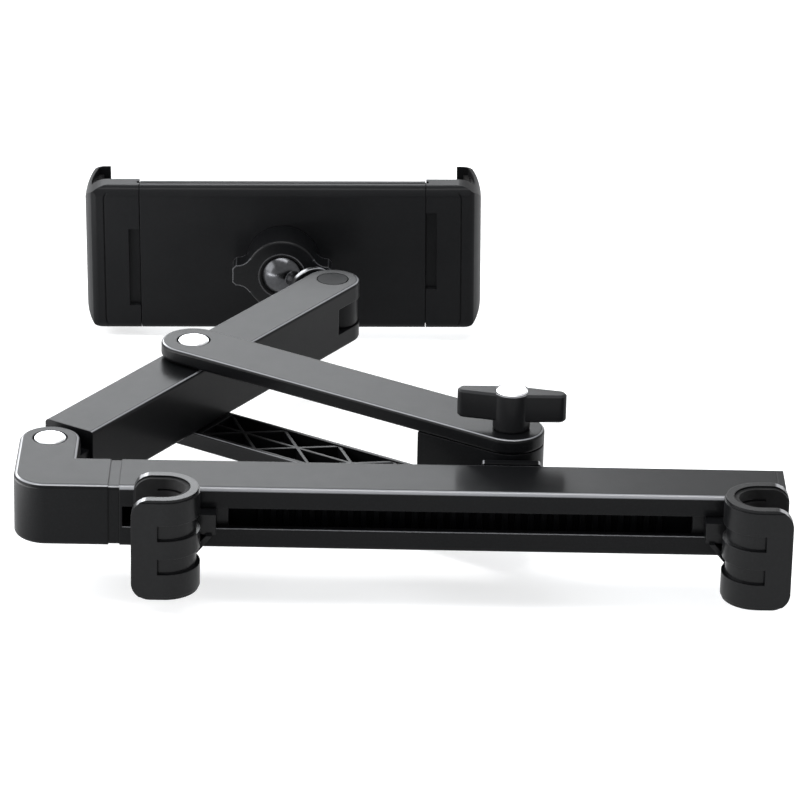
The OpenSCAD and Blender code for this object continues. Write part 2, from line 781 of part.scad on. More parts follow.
// Shallow tray with crossed ribs and one rib down its middle
module strut_tray() {
    top = tray_z1 - 0.3;
    inner = strut_w / 2 - tray_wall;
    start = strut_r - 1;
    count = floor((block_x - start) / truss_pitch);
    span = (block_x - start) / count;
    color(black) at_strut() difference() {
        union() {
            difference() {
                translate([0, 0, (tray_z0 + tray_z1) / 2]) link_bar(strut_len, strut_w, tray_h, 0.6);
                translate([start, -inner, tray_z0 + tray_floor])
                    cube([block_x - start, 2 * inner, tray_h]);
            }
            intersection() {
                translate([0, 0, tray_z0 + tray_floor - eps]) linear_extrude(top - tray_z0 - tray_floor)
                    union() {
                        translate([start - 0.5, -rib_t / 2])
                            square([block_x - start + 1, rib_t]);
                        for (i = [0 : count - 1], side = [-1, 1])
                            translate([start + (i + 0.5) * span, 0])
                                rotate([0, 0, side * atan(2 * inner / span)])
                                    square([2 * span, rib_t], center = true);
                    }
                translate([start - 0.5, -inner - 0.2, tray_z0])
                    cube([block_x - start + 1, 2 * inner + 0.4, tray_h]);
            }
        }
        rod(pin_r + seat, tray_z0 - 1, tray_z1 + 1);
        rod(head_r + seat, tray_z0 - 1, tray_z0 + head_h);
        translate([strut_len, 0, 0]) {
            rod(bolt_r + run, tray_z0 - 1, tray_z1 + 1);
            translate([0, 0, tray_z0 - 1]) cylinder(r = nut_hex_r + run, h = nut_hex_h + 1.3, $fn = 6);
        }
        for (x = strut_screw_x) translate([x, 0, 0]) {
            rod(1.3, tray_z0 - 1, tray_z1 + 1);
            rod(2.3, tray_z0 - 1, tray_z0 + 1.5);
        }
    }
}

strut_screw_x = [block_x + 3.5, block_x + 10];

module strut_end_block() {
    slot = lug_t / 2 + 0.2;
    color(black) at_strut() difference() {
        union() {
            translate([block_x, -strut_r + 0.05, tray_z1])
                cube([block_len, strut_w - 0.1, plate_z0 - tray_z1]);
            translate([strut_len, 0, 0]) rod(strut_r - 0.05, tray_z1, plate_z0);
        }
        block_cuts(slot);
    }
}

// Room for the slider's lug over its whole turn, and the bolt's and screws' holes
module block_cuts(slot) {
    translate([strut_len, 0, 0]) {
        rod(lug_r + 0.45, -slot, slot);
        rod(bolt_r + run, tray_z1 - 1, plate_z0 + 1);
        for (a = [0 : 16 : 32]) rotate([0, 0, strut_deg - a])
            translate([-lug_r - 0.3, -2 * strut_w, -slot])
                cube([2 * lug_r + 0.6, 2 * strut_w, 2 * slot]);
    }
    for (x = strut_screw_x) translate([x, 0, 0]) rod(1.2 + seat, tray_z1 - 1, tray_z1 + 6.5);
}

module strut_screws() {
    color(steel) at_strut() for (x = strut_screw_x)
        translate([x, 0, tray_z0]) screw(1.2, tray_h + 6, 2.2, 1.4);
}

module mid_pivot_pin() {
    color(steel) at_strut() {
        pivot_pin(plate_z1 - cap_t + 0.2, tray_z0 + 0.5);
        rod(head_r, tray_z0, tray_z0 + head_h - seat);
    }
}

module mid_pivot_cap() {
    color(silver) at_strut() pivot_cap(plate_z1, cap_r);
}

module clamp_nut() {
    color(steel) at_strut() translate([strut_len, 0, 0]) difference() {
        translate([0, 0, tray_z0 + 0.2]) cylinder(r = nut_hex_r, h = nut_hex_h, $fn = 6);
        rod(bolt_r + run, tray_z0 - 1, tray_z1);
    }
}

// Slider: head in the rail's channel, stem in the rear slot, flange outside and lug for the bolt
module slider_shoe() {
    rel = base_y;
    color(black) difference() {
        union() {
            translate([slider_x - slider_w / 2, head_y0, -chan_h / 2 + slip])
                cube([slider_w, head_t, chan_h - 2 * slip]);
            translate([slider_x - slider_w / 2, head_y0, -slot_h / 2 + slip])
                cube([slider_w, back_y + slip + 1 - head_y0, slot_h - 2 * slip]);
            translate([slider_x, back_y + slip, 0]) rotate([-90, 0, 0]) linear_extrude(flange_t)
                rounded(slider_w, rail_h + 0.2, 1);
            translate([slider_x - lug_r, back_y + slip + 1, -lug_t / 2])
                cube([2 * lug_r, rel - back_y - slip - 1, lug_t]);
            translate([slider_x, rel, 0]) rod(lug_r, -lug_t / 2, lug_t / 2);
        }
        translate([slider_x, rel, 0]) rod(bolt_r + run, -lug_t, lug_t);
    }
}

// Wing knob, drawn from its seat on the top plate
module wing_knob() {
    tip = knob_span / 2 - wing_t / 2;
    color(black) at_slider() translate([0, 0, plate_z1 + 0.1]) rotate([0, 0, knob_deg]) difference() {
        union() {
            translate([0, 0, knob_h / 2]) pill(hub_r, knob_h, 0.5);
            for (side = [-1, 1]) hull() {
                translate([0, 0, knob_h - wing_h / 2]) soft_disc(wing_root / 2, wing_h, 0.6);
                translate([side * tip, 0, knob_h - wing_h / 2]) soft_disc(wing_t / 2, wing_h, 0.6);
            }
        }
        rod(cap_r + 0.1, knob_h - cap_t + 0.2, knob_h + 1);
        rod(bolt_r + seat, -1, knob_h + 1);
        translate([0, 0, knob_h - cap_t + 0.2 - 3]) cylinder(r = bolt_hex_r, h = bolt_hex_h + 1.1, $fn = 6);
    }
}

module soft_disc(r, h, c) {
    rotate_extrude($fn = 32)
        polygon([[0, -h / 2], [r - c, -h / 2], [r, c - h / 2], [r, h / 2 - c], [r - c, h / 2], [0, h / 2]]);
}

module knob_cap() {
    color(silver) at_slider() pivot_cap(plate_z1 + 0.1 + knob_h, cap_r);
}

module clamp_bolt() {
    head_z = plate_z1 + 0.1 + knob_h - cap_t + 0.2 - 3;
    color(steel) at_slider() {
        translate([0, 0, head_z]) rotate([0, 0, knob_deg]) cylinder(r = bolt_hex_r, h = bolt_hex_h, $fn = 6);
        rod(bolt_r, tray_z0 + 0.6, head_z + eps);
    }
}

// Ball link, drawn along +X from the tip pivot

module tip_knuckle() {
    color(black) at_tip() rotate([0, 0, link_deg]) difference() {
        union() {
            rod(knuckle_r, -knuckle_t / 2, knuckle_t / 2);
            translate([0, -5.2, -knuckle_t / 2]) cube([disc_x + eps, 10.4, knuckle_t]);
            rotate([0, 90, 0]) translate([0, 0, disc_x + disc_t / 2]) pill(disc_r, disc_t, 0.6);
            rotate([0, 90, 0]) translate([0, 0, disc_x + disc_t - eps])
                cylinder(r1 = neck_r + 2.2, r2 = neck_r + 1.2, h = 2.6);
        }
        rod(pin_r + run, -10, 10);
        rotate([0, 90, 0]) rod(neck_r - 0.2, disc_x - 4, disc_x + 10);
    }
}

// Polished ball on its turned neck and shank
module ball_stud() {
    shank_x = disc_x - 3.9;
    collar_x = disc_x + disc_t + 2.6 + seat;
    color(steel) at_tip() rotate([0, 0, link_deg]) {
        translate([link_len, 0, 0]) rotate([0, -90, 0]) sphere(ball_r);
        rotate([0, 90, 0]) {
            rod(neck_r - 0.2 - seat, shank_x, collar_x + 1);
            translate([0, 0, collar_x]) cylinder(r1 = neck_r + 1.1, r2 = neck_r, h = 2.4);
            rod(neck_r, collar_x + 1, link_len - 2);
        }
    }
}

// Thin bowl between two angles from the socket's mouth, concentric with the ball
module bowl_zone(a0, a1) {
    rotate([90, 0, 0]) rotate_extrude() intersection() {
        difference() {
            circle(bowl_out);
            circle(bowl_in);
        }
        polygon([[0, 0], [20 * sin(a0), 20 * cos(a0)], [20 * sin((a0 + a1) / 2), 20 * cos((a0 + a1) / 2)],
            [20 * sin(a1), 20 * cos(a1)]]);
    }
}

module ball_seat_ring() {
    mouth_deg = acos(nut_front / cavity_r);
    color(pom) at_ball() bowl_zone(mouth_deg, mouth_deg + 26);
}

module ball_seat_cup() {
    color(pom) at_ball() difference() {
        rotate([-90, 0, 0]) rotate_extrude() intersection() {
            difference() {
                circle(bowl_out);
                circle(bowl_in);
            }
            translate([0, bowl_out * sin(18)]) square([20, 20]);
        }
        rod_y(1.5, 0, 20);
    }
}

// Ball nut: threaded sleeve with a spherical mouth and two ears
module ball_nut() {
    color(black) at_ball() difference() {
        union() {
            rotate([-90, 0, 0]) translate([0, 0, (nut_back - nut_front) / 2])
                pill(nut_r, nut_back + nut_front, 0.7);
            translate([0, ear_l - nut_front, 0]) rotate([90, 0, 0]) linear_extrude(ear_l)
                polygon(concat(ear_edge(1, 1), ear_edge(1, -1), ear_edge(-1, -1), ear_edge(-1, 1)));
        }
        rotate([90, 0, 0]) sphere(cavity_r);
        rod_y(thread_r, spigot_y - 0.3, nut_back + 1);
    }
}

// One hollow flank of an ear, from the nut's side out to the ear's corner
function ear_edge(sx, sz) = sx * sz > 0 ? ear_points(sx, sz) : [for (i = [8 : -1 : 0]) ear_points(sx, sz)[i]];

function ear_points(sx, sz) = concat(
    [[sx * nut_r * 0.7, sz * nut_r * 0.4]],
    [for (i = [0 : 5]) [sx * (flank_x + flank_r * cos(flank_a + i * (270 - flank_a) / 5)),
        sz * (ear_h / 2 + flank_r + flank_r * sin(flank_a + i * (270 - flank_a) / 5))]],
    [[sx * (ear_reach - 1), sz * ear_h / 2], [sx * ear_reach, sz * (ear_h / 2 - 1)]]);

// Holder, drawn about the ball's centre: x across, y towards the tablet

module shell_blank(y0, y1, r) {
    translate([0, (y0 + y1) / 2, 0]) bar(-half_w, half_w, y1 - y0, holder_h, r);
}

// Holder's full section with its rounded edges, from the back face to the claws
module holder_section(x0, x1) {
    translate([0, (holder_off + claw_y) / 2, 0]) bar(x0, x1, claw_y - holder_off, holder_h, back_r);
}

module screw_posts(r, y0, y1) {
    for (x = [-1, 1], z = [-1, 1]) translate([x * screw_x, 0, z * screw_z]) rod_y(r, y0, y1);
}

module holder_back_shell() {
    rim = 2;
    mouth_z = rack_top + 0.5;
    color(black) at_holder() difference() {
        union() {
            difference() {
                intersection() {
                    holder_section(-half_w, half_w);
                    translate([-half_w - 1, holder_off - 1, -holder_h])
                        cube([mid_w + 2, shell_y - holder_off + 1, 2 * holder_h]);
                }
                translate([-half_w + rim, holder_off + shell_t, -half_h + rim])
                    cube([mid_w - 2 * rim, 10, holder_h - 2 * rim]);
                translate([-half_w - 1, layer_y0 - 0.1, -mouth_z]) cube([mid_w + 2, 10, 2 * mouth_z]);
            }
            rod_y(spigot_r, spigot_y, holder_off + eps);
            screw_posts(2.6, holder_off + shell_t / 2, shell_y);
            rod_y(2, holder_off + eps, shell_y + 1.6);
        }
        rotate([90, 0, 0]) sphere(cavity_r);
        screw_posts(1.1, holder_off + 1.2, shell_y + 1);
    }
}

module holder_front_cover() {
    color(black) at_holder() difference() {
        union() {
            shell_blank(shell_y + 0.1, front_y - pad_t, 0.8);
            translate([-half_w - 0.5, shell_y + 0.6, 0.4 - half_h]) cube([mid_w + 1, 1.1, holder_h - 0.8]);
        }
        rod_y(9.4, shell_y - 1, shell_y + 1.8);
        screw_posts(1.25, shell_y - 1, front_y);
        screw_posts(2.3, front_y - pad_t - 1.3, front_y);
    }
}

module holder_screws() {
    color(steel) at_holder() for (x = [-1, 1], z = [-1, 1])
        translate([x * screw_x, front_y - pad_t, z * screw_z]) rotate([90, 0, 0])
            screw(1.08, front_y - pad_t - holder_off - 1.8, 2.2, 1.2);
}

// Soft pad with shallow grooves across it
module holder_front_pad() {
    step = 5.8;
    rows = floor((holder_h / 2 - 4) / step);
    color(rubber) at_holder() difference() {
        translate([0, front_y - pad_t / 2, 0]) bar(-half_w + 1.5, half_w - 1.5, pad_t, holder_h - 3, 0.3);
        for (i = [-rows : rows]) translate([-half_w, front_y - 0.4, i * step - 0.6])
            cube([mid_w, 1, 1.2]);
    }
}

// Gear tooth with straight flanks, rooted on the circle of radius root
module gear_tooth(root, tip, w_root, w_tip) {
    polygon([[root - 0.4, -w_root / 2], [tip, -w_tip / 2], [tip, w_tip / 2], [root - 0.4, w_root / 2]]);
}

module pinion() {
    color(pom) at_holder() difference() {
        union() {
            translate([0, layer_y1 - 0.05, 0]) rotate([90, 0, 0])
                linear_extrude(layer_y1 - layer_y0 - 0.1) {
                    circle(pinion_r - ded);
                    for (i = [0 : pinion_teeth - 1]) rotate([0, 0, (i + 0.5) * 360 / pinion_teeth])
                        gear_tooth(pinion_r - ded, pinion_r + add, jaw_pitch * 0.6, jaw_pitch * 0.2);
                }
            rod_y(3.1, layer_y1 - 0.5, shell_y + 1.5);
        }
        rod_y(2 + run, holder_off, shell_y + 3);
    }
}

// Flat spiral torsion spring, built from half turns about two centres
module pinion_spring() {
    turns = 3;
    step = 1.7;
    strip = 0.5;
    y0 = shell_y + 0.2;
    color(steel) at_holder() translate([0, y0 + 1.2, 0]) rotate([90, 0, 0]) linear_extrude(1.2)
        for (i = [0 : 2 * turns - 1]) {
            side = i % 2 == 0 ? 1 : -1;
            r = 3.3 + i * step / 2;
            translate([i % 2 == 0 ? 0 : -step / 2, 0]) intersection() {
                difference() {
                    circle(r + strip);
                    circle(r);
                }
                translate([-20, side > 0 ? 0 : -20]) square([40, 20]);
            }
        }
}

// Half plan of a jaw's section: body, bowed side wall and lip, for the jaw at -X
module jaw_plan() {
    difference() {
        union() {
            intersection() {
                translate([-side_x, side_y]) circle(side_bulge, $fn = 128);
                translate([-jaw_end - 1, holder_off]) square([jaw_w + 1, claw_y - holder_off]);
            }
        }
        difference() {
            translate([-side_x, side_y]) circle(side_bulge - lip_t, $fn = 128);
            translate([-jaw_end, holder_off - 1]) square([jaw_w, holder_t + 1]);
            translate([-jaw_end - 1, claw_y - lip_t]) square([jaw_w, lip_t + 1]);
        }
        translate([-jaw_end + lip_t + lip_len, front_y]) square([jaw_w, claw_y]);
        translate([-jaw_end + lip_t + lip_len, claw_y - lip_t - 1]) square([jaw_w, 6]);
    }
}

module jaw_face_mask(corner) {
    translate([0, claw_y + 1, 0]) rotate([90, 0, 0]) linear_extrude(claw_y - holder_off + 2) {
        translate([-jaw_end + corner, -half_h]) square([jaw_w + 2, holder_h]);
        translate([-jaw_end, -half_h + corner]) square([jaw_w + 2, holder_h - 2 * corner]);
        for (z = [-1, 1]) translate([-jaw_end + corner, z * (half_h - corner)]) circle(corner);
    }
}

// Jaw at -X with its rack above the pinion; the one at +X is turned half round
module jaw() {
    grip_d = 3.3;
    lip_out = 0.75;
    difference() {
        intersection() {
            translate([0, 0, -half_h]) linear_extrude(holder_h) jaw_plan();
            jaw_face_mask(jaw_corner);
            holder_section(-jaw_end - 1, -half_w - 0.2);
        }
        bead_rounding();
        bead_groove();
        translate([-half_w - 0.2 - grip_d, holder_off - 1, grip_z - grip_h / 2])
            cube([grip_d + 1, 1 + grip_deep, grip_h]);
        translate([-half_w - 0.2 - lip_out, shell_y + 0.4, -holder_h]) cube([lip_out + 1, 1.5, 2 * holder_h]);
    }
    translate([0, layer_y1, 0]) rotate([90, 0, 0]) linear_extrude(layer_y1 - layer_y0) {
        translate([-half_w - 3, rack_root]) square([half_w + 3 + rack_end, rack_top - rack_root]);
        rack_teeth();
    }
}

// What the rounding takes off the back corner of a jaw's side wall
module bead_rounding() {
    mid_x = -side_x - bead_x;
    translate([0, 0, -holder_h]) linear_extrude(2 * holder_h) difference() {
        translate([-jaw_end - 1, holder_off - 1]) square([mid_x + jaw_end + 1, bead_touch - holder_off + 1]);
        translate([mid_x - 0.02, holder_off + bead_r - 0.02]) circle(bead_r);
    }
}

// Parting groove that follows the jaw's outer end and sets off its rounded side wall
module bead_groove() {
    translate([0, holder_off + groove_w, 0]) rotate([90, 0, 0]) linear_extrude(groove_w + 1) difference() {
        bead_outline(0);
        bead_outline(groove_w);
    }
}

module bead_outline(inset) {
    r = jaw_corner - bead_w / 2 - inset;
    x0 = -jaw_end + bead_w + inset;
    z1 = half_h - inset;
    translate([x0 + r, -z1]) square([jaw_w, 2 * z1]);
    translate([x0, r - z1]) square([jaw_w, 2 * (z1 - r)]);
    for (z = [-1, 1]) translate([x0 + r, z * (z1 - r)]) circle(r);
}

module rack_teeth() {
    first = -ceil((jaw_travel * 0.15) / jaw_pitch);
    last = floor((rack_end - jaw_pitch) / jaw_pitch);
    for (i = [first : last]) translate([i * jaw_pitch, rack_root + eps])
        polygon([[-jaw_pitch * 0.28, 0], [-jaw_pitch * 0.09, -add - ded + 0.1],
            [jaw_pitch * 0.09, -add - ded + 0.1], [jaw_pitch * 0.28, 0]]);
}

// Ribbed rubber strip that lines a claw
module jaw_pad() {
    pitch = 1.6;
    deep = 1.3;
    count = floor((grip_gap - 1) / pitch);
    intersection() {
        translate([0, 0, -half_h + 3]) linear_extrude(holder_h - 6) difference() {
            intersection() {
                translate([-side_x, side_y]) circle(side_bulge - lip_t, $fn = 128);
                translate([-jaw_end, front_y + 0.1]) square([lip_t + deep + 3, grip_gap - 0.2]);
            }
            translate([-side_x, side_y]) circle(side_bulge - lip_t - deep, $fn = 128);
            for (i = [0 : count]) translate([-jaw_end + lip_t + deep + 0.1, front_y + 0.8 + i * pitch])
                rotate([0, 0, 45]) square(0.8, center = true);
        }
        jaw_face_mask(jaw_corner - lip_t);
    }
}

module turned() {
    rotate([0, 180, 0]) children();
}

module left_jaw() { color(black) at_holder() jaw(); }
module right_jaw() { color(black) at_holder() turned() jaw(); }
module left_jaw_pad() { color(rubber) at_holder() jaw_pad(); }
module right_jaw_pad() { color(rubber) at_holder() turned() jaw_pad(); }

rail_beam();
corner_block();
rail_end_cap();
detent_strip();
corner_screws();
base_pivot_pin();
base_pivot_cap();
base_washers();
left_hook();
left_hook_liner();
left_carriage();
left_detent_spring();
left_hook_screws();
right_hook();
right_hook_liner();
right_carriage();
right_detent_spring();
right_hook_screws();
arm_beam();
arm_bottom_cover();
arm_cover_screws();
mid_pivot_bush();
tip_pivot_pin();
tip_pivot_cap();
strut_top_plate();
strut_tray();
strut_end_block();
strut_screws();
mid_pivot_pin();
mid_pivot_cap();
clamp_nut();
slider_shoe();
wing_knob();
knob_cap();
clamp_bolt();
tip_knuckle();
ball_stud();
ball_seat_ring();
ball_seat_cup();
ball_nut();
holder_back_shell();
holder_front_cover();
holder_front_pad();
holder_screws();
pinion();
pinion_spring();
left_jaw();
right_jaw();
left_jaw_pad();
right_jaw_pad();
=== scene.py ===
"""Looks of the headrest tablet mount: studio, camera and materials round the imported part."""

import math

import bpy
from mathutils import Matrix, Vector

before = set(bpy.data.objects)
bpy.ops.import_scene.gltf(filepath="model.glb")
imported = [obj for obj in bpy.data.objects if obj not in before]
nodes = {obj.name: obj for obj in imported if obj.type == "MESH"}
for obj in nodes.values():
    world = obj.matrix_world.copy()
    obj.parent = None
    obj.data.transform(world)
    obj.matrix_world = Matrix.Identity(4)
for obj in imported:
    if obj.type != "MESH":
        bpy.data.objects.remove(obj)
scene = bpy.context.scene
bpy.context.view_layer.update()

# Lengths are in metres, unless a name says otherwise
FLOOR_Z = -0.0262
FLOOR_HALF = 4.0
AIM = (-0.03, 0.09, 0.0)

SENSOR_MM = 36.0
LENS_MM = 216.35
CAMERA_CLIP = (0.05, 50.0)
CAMERA_PLACE = (-0.0284, -1.16531, 0.5476)
PITCH_YAW_ROLL_DEG = (23.50, 0.55, 1.24)

WHITE = (1.0, 1.0, 1.0)
COOL = (0.95, 0.975, 1.0)
SKY = (0.93, 0.96, 1.0, 1.0)
SKY_STRENGTH = 0.55
PAPER = (0.62, 0.62, 0.62, 1.0)
PAPER_GLOW = 0.60


# Studio

def setup_view():
    """The camera that was fitted to the photograph."""
    scene.view_settings.view_transform = "Standard"
    data = bpy.data.cameras.new("camera")
    data.sensor_width = SENSOR_MM
    data.lens = LENS_MM
    data.clip_start, data.clip_end = CAMERA_CLIP
    cam = bpy.data.objects.new("camera", data)
    scene.collection.objects.link(cam)
    pitch, yaw, roll = (math.radians(a) for a in PITCH_YAW_ROLL_DEG)
    level = math.cos(pitch)
    fwd = Vector((math.sin(yaw) * level, math.cos(yaw) * level, -math.sin(pitch)))
    right = Vector((math.cos(yaw), -math.sin(yaw), 0.0))
    up = right.cross(fwd)
    rolled_right = math.cos(roll) * right + math.sin(roll) * up
    rolled_up = -math.sin(roll) * right + math.cos(roll) * up
    turn = Matrix((rolled_right, rolled_up, -fwd)).transposed().to_4x4()
    cam.matrix_world = Matrix.Translation(CAMERA_PLACE) @ turn
    scene.camera = cam


def area(name, place, target, size, watts, colour=WHITE):
    """A rectangular lamp that faces its target and isn't seen itself."""
    data = bpy.data.lights.new(name, "AREA")
    data.shape = "RECTANGLE"
    data.size, data.size_y = size
    data.energy = watts
    data.color = colour
    obj = bpy.data.objects.new(name, data)
    scene.collection.objects.link(obj)
    obj.location = place
    obj.rotation_euler = (Vector(target) - Vector(place)).to_track_quat("-Z", "Y").to_euler()
    obj.visible_camera = False


def setup_lamps():
    """The rear box lights the tops, the left ones the left walls, and the floor box mirrors in them."""
    area("rear_softbox", (-1.0, 2.3, 1.2), AIM, (2.5, 1.0), 58.0, COOL)
    area("left_softbox", (-2.1, -0.1, 0.9), AIM, (2.4, 1.6), 52.0)
    area("left_floor_box", (-0.42, -0.05, FLOOR_Z + 0.004), (-0.42, -0.05, 1.0), (0.45, 0.35), 8.0)
    area("top_box", (-0.1, -0.1, 1.8), AIM, (1.7, 0.45), 22.0)


def seen_ray(nt):
    """1 for camera, glossy and transmission rays, else 0."""
    path = nt.nodes.new("ShaderNodeLightPath")
    total = path.outputs["Is Camera Ray"]
    for name in ("Is Glossy Ray", "Is Transmission Ray"):
        top = nt.nodes.new("ShaderNodeMath")
        top.operation = "MAXIMUM"
        nt.links.new(total, top.inputs[0])
        nt.links.new(path.outputs[name], top.inputs[1])
        total = top.outputs[0]
    return total


def setup_world():
    """A soft sky for diffuse light, and plain white where the background is seen."""
    world = bpy.data.worlds.new("studio")
    scene.world = world
    world.use_nodes = True
    nt = world.node_tree
    nt.nodes.clear()
    out = nt.nodes.new("ShaderNodeOutputWorld")
    mix = nt.nodes.new("ShaderNodeMixShader")
    soft = nt.nodes.new("ShaderNodeBackground")
    soft.inputs["Color"].default_value = SKY
    soft.inputs["Strength"].default_value = SKY_STRENGTH
    plain = nt.nodes.new("ShaderNodeBackground")
    plain.inputs["Color"].default_value = (*WHITE, 1.0)
    plain.inputs["Strength"].default_value = 1.0
    nt.links.new(seen_ray(nt), mix.inputs[0])
    nt.links.new(soft.outputs[0], mix.inputs[1])
    nt.links.new(plain.outputs[0], mix.inputs[2])
    nt.links.new(mix.outputs[0], out.inputs["Surface"])


def setup_floor():
    """A pale sheet of paper that keeps the part's shadow."""
    h = FLOOR_HALF
    corners = [(-h, -h, FLOOR_Z), (h, -h, FLOOR_Z), (h, h, FLOOR_Z), (-h, h, FLOOR_Z)]
    mesh = bpy.data.meshes.new("floor")
    mesh.from_pydata(corners, [], [(0, 1, 2, 3)])
    obj = bpy.data.objects.new("floor", mesh)
    scene.collection.objects.link(obj)
    mat = bpy.data.materials.new("floor_paper")
    mat.use_nodes = True
    nt = mat.node_tree
    nt.nodes.clear()
    out = nt.nodes.new("ShaderNodeOutputMaterial")
    add = nt.nodes.new("ShaderNodeAddShader")
    paper = nt.nodes.new("ShaderNodeBsdfDiffuse")
    paper.inputs["Color"].default_value = PAPER
    glow = nt.nodes.new("ShaderNodeEmission")
    gain = nt.nodes.new("ShaderNodeMath")
    gain.operation = "MULTIPLY"
    gain.inputs[1].default_value = PAPER_GLOW
    nt.links.new(seen_ray(nt), gain.inputs[0])
    nt.links.new(gain.outputs[0], glow.inputs["Strength"])
    nt.links.new(paper.outputs[0], add.inputs[0])
    nt.links.new(glow.outputs[0], add.inputs[1])
    nt.links.new(add.outputs[0], out.inputs["Surface"])
    mesh.materials.append(mat)


# Materials

class Mat:
    """Small helper that builds one principled material with procedural detail."""

    def __init__(self, name):
        self.mat = bpy.data.materials.new(name)
        self.mat.use_nodes = True
        self.nt = self.mat.node_tree
        self.nt.nodes.clear()
        out = self.add("ShaderNodeOutputMaterial")
        self.bsdf = self.add("ShaderNodeBsdfPrincipled")
        self.link(self.bsdf.outputs[0], out.inputs["Surface"])
        self.coord = self.add("ShaderNodeTexCoord").outputs["Object"]

    def add(self, kind, **props):
        node = self.nt.nodes.new(kind)
        for key, value in props.items():
            setattr(node, key, value)
        return node

    def link(self, a, b):
        self.nt.links.new(a, b)

    def give(self, **inputs):
        """Links or sets inputs of the shader; an underscore stands for a space."""
        for key, value in inputs.items():
            socket = self.bsdf.inputs[key.replace("_", " ")]
            if isinstance(value, float):
                socket.default_value = value
            else:
                self.link(value, socket)

    def noise(self, scale, detail=3.0, stretch=None, rough=0.5):
        tex = self.add("ShaderNodeTexNoise")
        tex.inputs["Scale"].default_value = scale
        tex.inputs["Detail"].default_value = detail
        tex.inputs["Roughness"].default_value = rough
        place = self.coord
        if stretch:
            mapping = self.add("ShaderNodeMapping")
            mapping.inputs["Scale"].default_value = stretch
            self.link(self.coord, mapping.inputs["Vector"])
            place = mapping.outputs[0]
        self.link(place, tex.inputs["Vector"])
        return tex.outputs["Fac"]

    def ramp(self, value, low, high, a=0.3, b=0.7):
        """low where the value is a, high where it is b."""
        rng = self.add("ShaderNodeMapRange")
        rng.inputs["From Min"].default_value = a
        rng.inputs["From Max"].default_value = b
        rng.inputs["To Min"].default_value = low
        rng.inputs["To Max"].default_value = high
        self.link(value, rng.inputs["Value"])
        return rng.outputs["Result"]

    def times(self, a, b):
        node = self.add("ShaderNodeMath", operation="MULTIPLY")
        self.link(a, node.inputs[0])
        self.link(b, node.inputs[1])
        return node.outputs[0]

    def mix(self, fac, a, b):
        node = self.add("ShaderNodeMix", data_type="RGBA")
        self.link(fac, node.inputs["Factor"])
        for socket, value in ((node.inputs[6], a), (node.inputs[7], b)):
            if isinstance(value, tuple):
                socket.default_value = (*value, 1.0)
            else:
                self.link(value, socket)
        return node.outputs[2]

    def edges(self, radius):
        """Rounded normal, and a mask that is high along edges."""
        bevel = self.add("ShaderNodeBevel", samples=6)
        bevel.inputs["Radius"].default_value = radius
        geo = self.add("ShaderNodeNewGeometry")
        dot = self.add("ShaderNodeVectorMath", operation="DOT_PRODUCT")
        self.link(bevel.outputs[0], dot.inputs[0])
        self.link(geo.outputs["Normal"], dot.inputs[1])
        return bevel.outputs[0], self.ramp(dot.outputs["Value"], 1.0, 0.0, 0.75, 1.0)

    def upper_highlight(self):
        """1 on the rounding just under a top face, where a light colour is painted on as a highlight,
        else 0.
        """
        geo = self.add("ShaderNodeNewGeometry")
        axis = self.add("ShaderNodeSeparateXYZ")
        self.link(geo.outputs["Normal"], axis.inputs[0])
        leaning = self.ramp(axis.outputs["Z"], 0.0, 1.0, 0.70, 0.80)
        not_level = self.ramp(axis.outputs["Z"], 1.0, 0.0, 0.95, 0.985)
        return self.times(leaning, not_level)

    def front_highlight(self, rounded):
        """1 along edges between a top face and the front, also on sharp ones, else 0: where a painted
        highlight goes.
        """
        dot = self.add("ShaderNodeVectorMath", operation="DOT_PRODUCT")
        self.link(rounded, dot.inputs[0])
        dot.inputs[1].default_value = FRONT_TOP
        top = self.add("ShaderNodeMath", operation="MAXIMUM")
        self.link(self.ramp(dot.outputs["Value"], 0.0, 1.0, 0.84, 0.93), top.inputs[0])
        self.link(self.upper_highlight(), top.inputs[1])
        return top.outputs[0]

    def bump(self, height, distance, strength, normal):
        node = self.add("ShaderNodeBump")
        node.inputs["Distance"].default_value = distance
        node.inputs["Strength"].default_value = strength
        self.link(height, node.inputs["Height"])
        self.link(normal, node.inputs["Normal"])
        return node.outputs[0]


# Lighter grey for random grain flecks and for worn sharp edges, where it is also a faint painted sheen.
WORN_AND_SHEEN = (0.016, 0.016, 0.0175)
# Light grey painted on chosen edges as a painted highlight, in place of reflected light.
PAINTED_EDGE_HIGHLIGHT = (0.23, 0.233, 0.245)
DEEP_BLACK = ((0.0030, 0.0032, 0.0036), (0.0040, 0.0042, 0.0047))
TRAY_BLACK = ((0.0036, 0.0038, 0.0042), (0.0048, 0.005, 0.0055))
BEARING_BLACK = ((0.005, 0.005, 0.0052), (0.007, 0.007, 0.0073))
HOLDER_BLACK = ((0.0080, 0.0082, 0.0088), (0.0100, 0.0102, 0.0108))
GRIP_BLACK = ((0.0085, 0.0087, 0.0093), (0.0105, 0.0107, 0.0113))
RUBBER_BLACK = ((0.0035, 0.0035, 0.0037), (0.006, 0.006, 0.0063))
ALUMINIUM = ((0.70, 0.71, 0.725), (0.86, 0.87, 0.88))
ZINC = ((0.42, 0.43, 0.44), (0.60, 0.61, 0.62))
SPRING_STEEL = ((0.50, 0.50, 0.50), (0.66, 0.66, 0.65))
DARK_STEEL = ((0.045, 0.046, 0.049), (0.065, 0.066, 0.070))

# Halfway between the front, where the posts stand, and straight up; edges facing this way get a painted
# highlight
FRONT_TOP = (0.0, -0.7071, 0.7071)

# Noise scales, in waves a metre
CLOUDS = 45.0
GLOSS_SPOTS = 240.0
EDGE_WEAR_AND_SHEEN = 420.0


